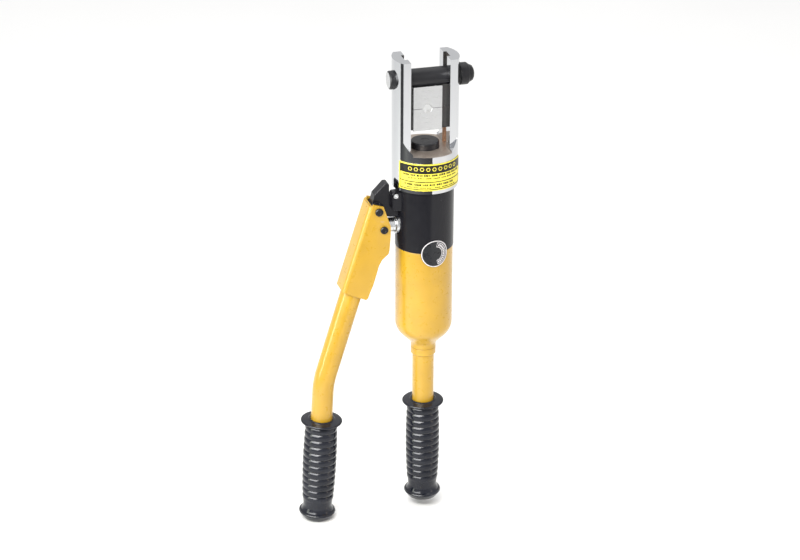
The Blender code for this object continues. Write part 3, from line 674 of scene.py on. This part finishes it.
def make_badge():
    """A round plate with a pale rim and a pale arc of ticks on the right."""
    middle = (BADGE_LOW.z + BADGE_HIGH.z) / 2
    facing = math.radians(5)
    plate_r, radius = BODY_R + 0.3, (BADGE_HIGH.z - BADGE_LOW.z) / 2 - 0.05
    thick, grid = 0.7, 2.0
    disc = arc((0, middle), radius, 0, 360, 64)[:-1]
    plate = wrapped("badge_plate", [disc], plate_r, thick, BADGE_BLACK, facing, grid)
    ink_r = plate_r + thick - 0.04
    rim = ring_bars(middle, radius - 1.0, radius - 0.1, 0, 360, 72)
    low_turn, high_turn, inner, outer, line = -76, 80, 8.2, 12.0, 0.6
    scale = ring_bars(middle, inner - line, inner, low_turn, high_turn, 26)
    scale += ring_bars(middle, outer, outer + line, low_turn, high_turn, 26)
    for end in (low_turn, high_turn - 2):
        scale += ring_bars(middle, inner, outer, end, end + 2, 1)
    for i in range(13):
        angle = low_turn + 10 + 11 * i
        scale += ring_bars(middle, inner + 0.8, outer - 0.8, angle - 3.6, angle + 3.2, 1)
    pale = wrapped("badge_print", rim + scale, ink_r, 0.12, BADGE_PALE, facing, grid)
    for piece in (plate, pale):
        stands_for(piece, "badge", "tool_body")


# ---------------------------------------------------------------- body and barrel

def make_pump_body():
    """Black body with its neck, cut for the plunger, and the lug and relief block that stand on it."""
    shell = [(CYLINDER_R, SLEEVE_TOP), (NECK_R, SLEEVE_TOP), (NECK_R, BODY_TOP), (BODY_R, BODY_TOP),
             (BODY_R, BODY_BOTTOM), (SPIGOT_R, BODY_BOTTOM), (SPIGOT_R, SPIGOT_BOTTOM),
             (CYLINDER_R, SPIGOT_BOTTOM)]
    body = linked("pump_body_shell", turned_mesh(rounded(shell, 0.8), 128), BLACK)
    outside = -60
    combine(body, cylinder_mesh(GLAND_BORE_R, outside, GLAND_SEAT, X_AXIS, (0, 0, PLUNGER_Z)))
    bevelled(flat_joined(body), 0.5, 2, 40)
    horn = [(-26.0, 356.5), (-38.0, 356.5), (-39.4, 358.0), (-39.4, 368.8), (-40.6, 370.2), (-44.0, 370.2),
            (-55.1, 358.7), (-56.3, 354.0)]
    eye = arc(PIVOT, EYE_R, 130, 270, 14)
    foot = [(-46.0, 334.6), (-38.5, 333.0), (-26.0, 333.0)]
    lug = linked("pump_lug", side_plate_mesh(horn + eye + foot, -LUG_HALF_Y, LUG_HALF_Y), BLACK)
    boss = cylinder_mesh(EYE_R - 1.0, -EYE_HALF_Y, EYE_HALF_Y, Y_AXIS, (PIVOT[0], 0, PIVOT[1]))
    combine(lug, boss, "UNION")
    bevelled(flat_joined(lug), 0.7, 3, 25)
    front, back = RELIEF_BLOCK_Y
    outline = [(-27.5, 340.5), (-36.6, 342.0), (-38.2, 344.0), (-38.2, 360.4), (-37.0, 361.9), (-27.5, 361.9)]
    block = linked("relief_block", side_plate_mesh(outline, front, back), BLACK)
    bore = cylinder_mesh(RELIEF_BORE_R, front - 1, RELIEF_BORE_END, Y_AXIS, (RELIEF[0], 0, RELIEF[1]))
    combine(block, bore)
    bevelled(flat_joined(block), 1.2, 3, 25)
    for piece in (body, lug, block):
        stands_for(piece, "pump_body", "tool_body")


def make_barrel():
    """Yellow oil barrel: straight wall, rounded shoulder, cone and neck, and the ring round its neck."""
    outer = [(BARREL_R - BARREL_WALL, BARREL_TOP), (BARREL_R, BARREL_TOP)]
    outer += arc((BARREL_R - SHOULDER_R, SHOULDER_TOP), SHOULDER_R, 0, -45, 12)
    low_r, low_z = outer[-1]
    step = NECK_FILLET_R * math.sin(math.pi / 4)
    fillet_r = COLLAR_R + NECK_FILLET_R
    fillet_z = low_z - (low_r - (fillet_r - step)) - step
    outer += arc((fillet_r, fillet_z), NECK_FILLET_R, 135, 180, 8)
    end, neck_bore = COLLAR_HIGH.z + 0.3, TUBE_R + 0.4
    outer += [(COLLAR_R, end), (neck_bore, end), (neck_bore, BARREL_NECK_INSIDE)]
    outer += arc((BARREL_R - SHOULDER_R, SHOULDER_TOP), SHOULDER_R - BARREL_WALL, -45, 0, 6)
    stands_for(turned("oil_barrel", outer, YELLOW, 0.5, 128), "barrel", "tool_body")
    ring_bore, slope = TUBE_R + 0.3, 1.2
    collar = [(ring_bore, COLLAR_HIGH.z), (COLLAR_R, COLLAR_HIGH.z), (COLLAR_R, COLLAR_LOW.z + slope),
              (COLLAR_R - slope, COLLAR_LOW.z), (ring_bore, COLLAR_LOW.z)]
    stands_for(turned("neck_ring", collar, YELLOW, 0.4, 96), "neck_collar", "tool_body")


# ---------------------------------------------------------------- handles

def tube_mesh(points, radius, sides=48):
    """A round bar swept along points that lie in the XZ plane, closed at both ends."""
    work = bmesh.new()
    rings = []
    for i, point in enumerate(points):
        along = (points[min(i + 1, len(points) - 1)] - points[max(i - 1, 0)]).normalized()
        across = Vector((0, 1, 0))
        up = along.cross(across)
        turns = [2 * math.pi * k / sides for k in range(sides)]
        rings.append([work.verts.new((point + (across * math.cos(a) + up * math.sin(a)) * radius) * MM)
                      for a in turns])
    for one, two in zip(rings, rings[1:]):
        for k in range(sides):
            work.faces.new((one[k], one[(k + 1) % sides], two[(k + 1) % sides], two[k]))
    for cap in (rings[0], rings[-1]):
        work.faces.new(cap)
    bmesh.ops.recalc_face_normals(work, faces=work.faces)
    mesh = bpy.data.meshes.new("tube")
    work.to_mesh(mesh)
    work.free()
    return mesh


def leaned(angle, amount):
    """A step of amount down the pump handle, leaning outwards by angle."""
    return Vector((-math.sin(angle) * amount, 0, -math.cos(angle) * amount))


def make_pump_tube():
    """The bent yellow tube of the pump handle, with a long smooth bend."""
    reach, above, below = 12.0, 130.0, 150.0
    before, after = TUBE_BEND - leaned(TUBE_LEAN, reach), TUBE_BEND + leaned(GRIP_LEAN, reach)
    start, end = TUBE_BEND - leaned(TUBE_LEAN, above), TUBE_BEND + leaned(GRIP_LEAN, below)
    path = [start + (before - start) * i / 6 for i in range(6)]
    for i in range(17):
        t = i / 16
        path.append(before * (1 - t) ** 2 + TUBE_BEND * 2 * t * (1 - t) + after * t * t)
    path += [after + (end - after) * i / 6 for i in range(1, 7)]
    tube = shade(linked("bent_tube", tube_mesh(path, TUBE_R), YELLOW))
    stands_for(tube, "pump_handle_tube", "pump_handle")


def make_fixed_tube():
    profile = [(TUBE_BORE_R, TUBE_HIGH.z), (TUBE_R, TUBE_HIGH.z), (TUBE_R, TUBE_LOW.z),
               (TUBE_BORE_R, TUBE_LOW.z)]
    stands_for(turned("straight_tube", profile, YELLOW, 0.4, 64), "fixed_handle_tube", "fixed_handle")


def make_channel():
    """The pressed channel, with softened edges."""
    channel = copy_of("handle_channel", "pressed_channel", YELLOW, 0.7, 3, 25)
    stands_for(channel, "handle_channel", "pump_handle")


def grip_radius(height):
    """The ribs' outer radius: the grip swells above its middle, and is thinnest above its lower flange."""
    middle, half_length, radius, slant, taper = 62.0, 48.0, 18.2, 0.5, 1.7
    t = (height - middle) / half_length
    return radius + slant * t - taper * t * t


def grip_outline():
    """Ribbed rubber grip: up its bore to the mouth, then down its outer side to its closed end."""
    flange_top, flange_bottom = 22.1, 19.6
    bore = [(0, GRIP_FLOOR), (GRIP_BORE_R, GRIP_FLOOR), (GRIP_BORE_R, GRIP_TOP - 0.4)]
    lip = [(13.0, GRIP_TOP), (13.9, GRIP_TOP - 0.3), (14.4, GRIP_FLANGE_Z + 1.9),
           (flange_top - 1.5, GRIP_FLANGE_Z + 1.3)]
    edge = arc((flange_top - 1.2, GRIP_FLANGE_Z), 1.2, 80, -80, 6)
    under = [(16.4, GRIP_FLANGE_Z - 2.0), (15.8, GRIP_FLANGE_Z - 2.8)]
    ribs = []
    for i in range(RIB_COUNT * RIB_STEPS):
        height = FIRST_RIB + RIB_PITCH / 2 - RIB_PITCH * i / RIB_STEPS
        swell = abs(math.sin(math.pi * i / RIB_STEPS)) ** 0.6
        ribs.append((grip_radius(height) - RIB_DEPTH * (1 - swell), height))
    foot = [(15.3, 15.2), (15.6, 12.5), (17.2, 9.4), (flange_bottom - 0.5, 8.4)]
    foot += arc((flange_bottom - 1.3, 6.8), 1.3, 50, -40, 5)
    foot += [(16.4, 1.7), (15.2, 0.5), (13.8, 0.0), (0, 0.0)]
    return bore + lip + edge + under + ribs + foot


def make_grips():
    foot = GRIP_AXIS_TOP + leaned(GRIP_LEAN, GRIP_FLANGE_Z)
    for name, node, body, origin, turn in (
            ("fixed_rubber_grip", "fixed_grip", "fixed_handle", (0, 0, 0), None),
            ("pump_rubber_grip", "pump_grip", "pump_handle", foot, Matrix.Rotation(GRIP_LEAN, 4, "Y"))):
        grip = turned(name, grip_outline(), GRIP, 0, 96, origin, turn)
        stands_for(grip, node, body)


def make_pins():
    """Headed pins through the channel's cheeks, with a dimpled head in front and a groove behind."""
    shaft_r, groove_r = HANDLE_PIN_R, HANDLE_PIN_R - 0.6
    back, front = CHEEK_OUT + 2.8, -CHEEK_OUT - 0.3
    groove_low, groove_high, face = back - 2.3, back - 1.1, front - 2.2
    for name, node, (x, z), head_r in (
            ("pivot_pin_shaft", "pivot_pin", PIVOT, PIVOT_PIN_HEAD_R),
            ("plunger_pin_shaft", "plunger_pin", PLUNGER_PIN, PLUNGER_PIN_HEAD_R)):
        profile = [(0, back), (shaft_r - 0.5, back), (shaft_r, back - 0.5), (shaft_r, groove_high),
                   (groove_r, groove_high), (groove_r, groove_low), (shaft_r, groove_low), (shaft_r, front),
                   (head_r, front), (head_r, face + 0.6), (head_r - 0.7, face), (1.5, face),
                   (1.1, face + 0.7), (0, face + 0.8)]
        pin = turned(name, profile, OXIDE, 0.15, 48, (x, 0, z), Y_AXIS)
        stands_for(pin, node, "pump_handle")


def make_plunger():
    """The plunger with the gland that it slides in, and the relief screw above them."""
    rod = copy_of("plunger", "plunger_rod", TURNED, 0.4, 2, 35)
    stands_for(rod, "plunger", "pump_plunger")
    slope = 0.8
    profile = [(GLAND_INNER_R, GLAND_IN), (GLAND_R, GLAND_IN), (GLAND_R, GLAND_OUT + slope),
               (GLAND_R - slope, GLAND_OUT), (GLAND_INNER_R, GLAND_OUT)]
    gland = turned("gland_ring", profile, TURNED, 0.3, 64, (0, 0, PLUNGER_Z), X_AXIS)
    stands_for(gland, "plunger_gland", "tool_body")
    screw = copy_of("relief_screw", "relief_screw_head", TURNED, 0.2, 2, 35)
    stands_for(screw, "relief_screw", "tool_body")


def finish_frame_nodes():
    """The pieces inside keep their own shape, and take a material by what they are made of."""
    looks = {"seal_rubber": SEAL, "ground_steel": TURNED, "black_oxide": OXIDE, "yellow_paint": YELLOW,
             "black_paint": BLACK, "chrome": CHROME, "grip_rubber": GRIP, "label_plate": LABEL_YELLOW,
             "badge_plate": BADGE_BLACK}
    for part in frame["record"]["subparts"]:
        mesh = NODES[part["node"]].data
        mesh.materials.clear()
        mesh.materials.append(looks[part["material_slot"]])


# ---------------------------------------------------------------- studio

def make_camera():
    """The camera stands in front, left and above, and looks a little down.

    The target is a point on the tool, and the slopes say how far off the picture's middle it is.
    """
    turn, rise, roll = math.radians(-16.0), math.radians(24.3), math.radians(0.25)
    distance, focal_length, film_width = 2830.0, 121.5, 36.0
    target, off_right, off_up = Vector((0, 0, 249.7)), 0.00877778, -0.00148148
    forward = Vector((-math.sin(turn) * math.cos(rise), math.cos(turn) * math.cos(rise), -math.sin(rise)))
    right = Vector((math.cos(turn), math.sin(turn), 0))
    up = right.cross(forward)
    place = target - distance * (forward + off_right * right + off_up * up)
    lens = bpy.data.cameras.new("camera")
    lens.sensor_width = film_width
    lens.lens = focal_length
    lens.clip_end = 50.0
    camera = bpy.data.objects.new("camera", lens)
    facing = Matrix((right, up, -forward)).transposed().to_4x4()
    camera.matrix_world = Matrix.Translation(place * MM) @ facing @ Matrix.Rotation(roll, 4, "Z")
    bpy.context.scene.collection.objects.link(camera)
    bpy.context.scene.camera = camera


def make_floor():
    """A plain pale sweep under and behind the tool."""
    made, tree, shader = shader_nodes("pale_floor")
    tone = ramp(tree, noise(tree, 2.0, 2), [(0.3, (0.90, 0.90, 0.90)), (0.7, (0.93, 0.93, 0.93))])
    tree.links.new(tone, shader.inputs["Base Color"])
    shader.inputs["Roughness"].default_value = 0.6
    mesh = bpy.data.meshes.new("floor")
    size, level = 6.0, CAD_BOX[0].z - 0.0005
    mesh.from_pydata([(-size, -size, level), (size, -size, level), (size, size, level), (-size, size, level)],
                     [], [(0, 1, 2, 3)])
    linked("floor", mesh, made)


def area_light(name, place, aim, size, power, colour=(1, 1, 1), diffuse=True):
    """A soft box at place in metres, turned to aim. Without diffuse, it only makes highlights."""
    light = bpy.data.lights.new(name, "AREA")
    light.shape = "RECTANGLE"
    light.size, light.size_y = size
    light.energy = power
    light.color = colour
    obj = bpy.data.objects.new(name, light)
    obj.location = place
    obj.rotation_euler = (Vector(aim) - Vector(place)).to_track_quat("-Z", "Y").to_euler()
    obj.visible_camera = False
    obj.visible_diffuse = diffuse
    bpy.context.scene.collection.objects.link(obj)


def dark_sweep(name, inner, outer, start, end):
    """A black sheet on the floor outside the picture, which shows only as the dark side of the chrome.

    It reaches from inner to outer metres, and from start to end degrees round from the front.
    """
    made, _, shader = shader_nodes(name)
    shader.inputs["Base Color"].default_value = (0.008, 0.008, 0.01, 1)
    shader.inputs["Roughness"].default_value = 0.9
    level, steps = CAD_BOX[0].z + 0.002, 32
    turns = [math.radians(start + (end - start) * i / steps) for i in range(steps + 1)]
    corners = [(r * math.sin(a), -r * math.cos(a), level) for a in turns for r in (inner, outer)]
    mesh = bpy.data.meshes.new(name)
    mesh.from_pydata(corners, [], [(2 * i, 2 * i + 1, 2 * i + 3, 2 * i + 2) for i in range(steps)])
    card = linked(name, mesh, made)
    card.visible_camera = False
    card.visible_shadow = False
    card.visible_diffuse = False


def make_studio():
    """A white room with soft boxes in front, at both sides and above."""
    world = bpy.data.worlds.new("studio")
    bpy.context.scene.world = world
    world.use_nodes = True
    background = world.node_tree.nodes["Background"]
    background.inputs["Color"].default_value = (1.0, 1.0, 1.0, 1)
    background.inputs["Strength"].default_value = 0.84
    middle, grips = (0, 0, 0.25), (-0.05, 0, 0.08)
    area_light("front_box", (-0.62, -0.78, 1.15), grips, (1.1, 0.35), 20, (1.0, 0.99, 0.95))
    area_light("left_box", (-1.3, -0.15, 0.45), middle, (0.25, 1.2), 9, (0.95, 1.0, 0.85))
    area_light("right_box", (1.4, -1.0, 0.9), middle, (0.3, 1.4), 5, (1.0, 0.86, 0.7))
    area_light("top_box", (0.1, 0.5, 2.0), middle, (1.6, 1.6), 12)
    area_light("shine_box", (-0.80, -0.58, 0.75), grips, (1.0, 0.8), 46, diffuse=False)
    dark_sweep("dark_sheet", 0.66, 1.6, -108, 10)
    bpy.context.scene.view_settings.view_transform = "Standard"


make_camera()
make_floor()
make_studio()
finish_frame_nodes()
make_yoke()
make_lock_pin()
make_dies()
make_ram()
make_label()
make_badge()
make_pump_body()
make_barrel()
make_pump_tube()
make_fixed_tube()
make_channel()
make_grips()
make_pins()
make_plunger()
